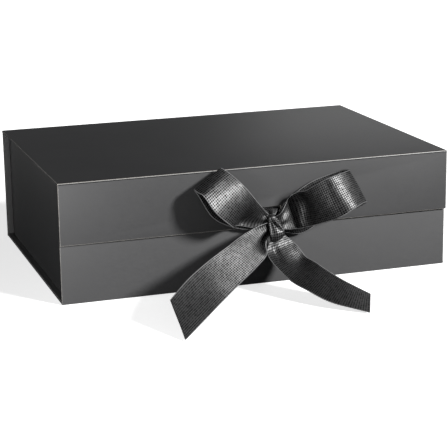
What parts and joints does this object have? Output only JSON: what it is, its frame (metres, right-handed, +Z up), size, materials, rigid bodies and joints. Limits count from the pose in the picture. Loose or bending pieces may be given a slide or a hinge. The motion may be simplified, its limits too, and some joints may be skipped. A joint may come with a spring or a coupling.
{
  "type": "gift box",
  "caption": "Rigid rectangular gift box with a hinged lid, a magnetic front flap, recessed side walls and a satin ribbon bow on the flap.",
  "frame": {"origin": "middle of the base's underside", "axes": "+Z up, the front wall and its flap face -Y, +X to the right as seen from the front"},
  "size_m": [0.35, 0.3682, 0.1073],
  "materials": {
    "wrap_paper": "matte laminated, soft sheen",
    "lining_paper": "matte",
    "board": "raw grey board",
    "ribbon": "satin weave with selvedge edges",
    "magnet": "nickel plated",
    "tape": "double sided tape"
  },
  "bodies": {
    "case": {"base_board": "board", "base_wrap": "wrap_paper", "base_liner": "lining_paper", "front_board": "board", "front_wrap": "wrap_paper", "front_liner": "lining_paper", "wall_magnets": "magnet", "spine_board": "board", "spine_wrap": "wrap_paper", "spine_liner": "lining_paper", "left_side_board": "board", "left_side_wrap": "wrap_paper", "right_side_board": "board", "right_side_wrap": "wrap_paper", "front_left_ear": "lining_paper", "front_right_ear": "lining_paper", "back_left_ear": "lining_paper", "back_right_ear": "lining_paper", "ear_tapes": "tape"},
    "lid": {"lid_board": "board", "lid_wrap": "wrap_paper", "lid_liner": "lining_paper"},
    "flap": {"flap_board": "board", "flap_wrap": "wrap_paper", "flap_liner": "lining_paper", "flap_magnets": "magnet", "ribbon_band": "ribbon", "bow_knot": "ribbon", "left_loop": "ribbon", "right_loop": "ribbon", "left_tail": "ribbon", "right_tail": "ribbon"}
  },
  "joints": [
    {"name": "lid_hinge", "type": "hinge", "parent": "case", "child": "lid", "pos_m": [0, 0.121, 0.104], "axis": [-1, 0, 0], "range_deg": [0, 175]},
    {"name": "flap_hinge", "type": "hinge", "parent": "lid", "child": "flap", "pos_m": [0, -0.1239, 0.104], "axis": [-1, 0, 0], "range_deg": [0, 90]}
  ]
}
